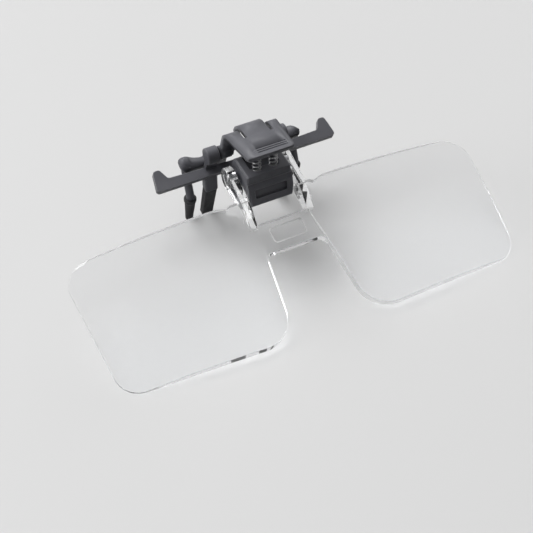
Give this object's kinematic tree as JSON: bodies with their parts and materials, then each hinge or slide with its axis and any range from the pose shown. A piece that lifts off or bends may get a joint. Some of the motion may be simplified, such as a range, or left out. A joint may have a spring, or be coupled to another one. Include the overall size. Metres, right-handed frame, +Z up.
{
  "type": "clip on eyeglass loupe",
  "caption": "Flip-up loupe with two clear magnifying lenses on a spring-loaded clip that grips a pair of spectacles.",
  "frame": {"origin": "centre of the bounding box, on the ground that the leg tips and the far lens edge stand on", "axes": "+X along the flip axle to the wearer's left when worn, -Y towards the lenses' far edge, +Z up as it lies on a table"},
  "size_m": [0.1142, 0.0564, 0.0326],
  "materials": {
    "clear_acrylic": "polished clear acrylic",
    "dark_plastic": "fine satin moulded plastic",
    "black_rubber": "soft matt rubber",
    "black_nylon": "plain nylon",
    "steel": "ground steel",
    "spring_wire": "bright spring wire",
    "brass": "turned brass"
  },
  "bodies": {
    "clip": {"friction_shoe": "brass", "friction_spring": "spring_wire", "housing": "dark_plastic", "front_cover": "dark_plastic", "hook_bar": "dark_plastic", "jaw_pin": "steel", "hinge_washer_left": "black_nylon", "hinge_washer_right": "black_nylon", "front_boot_left": "black_rubber", "front_boot_right": "black_rubber", "bar_screw_left": "steel", "bar_screw_right": "steel", "jaw_spring_left": "spring_wire", "jaw_spring_right": "spring_wire"},
    "lenses": {"lens_unit": "clear_acrylic", "flip_axle": "steel"},
    "jaw": {"thumb_jaw": "dark_plastic", "rear_sleeve_left": "black_rubber", "rear_sleeve_right": "black_rubber"}
  },
  "joints": [
    {"name": "lens_flip", "type": "hinge", "parent": "clip", "child": "lenses", "pos_m": [0, 0.01468, 0.0202], "axis": [1, 0, 0], "range_deg": [-12, 84]},
    {"name": "jaw_open", "type": "hinge", "parent": "clip", "child": "jaw", "pos_m": [0, 0.0217, 0.02366], "axis": [1, 0, 0], "range_deg": [0, 25], "stiffness_Nm_per_rad": 0.03, "springref_deg": -28.65, "deforming": ["jaw_spring_left", "jaw_spring_right"]}
  ]
}
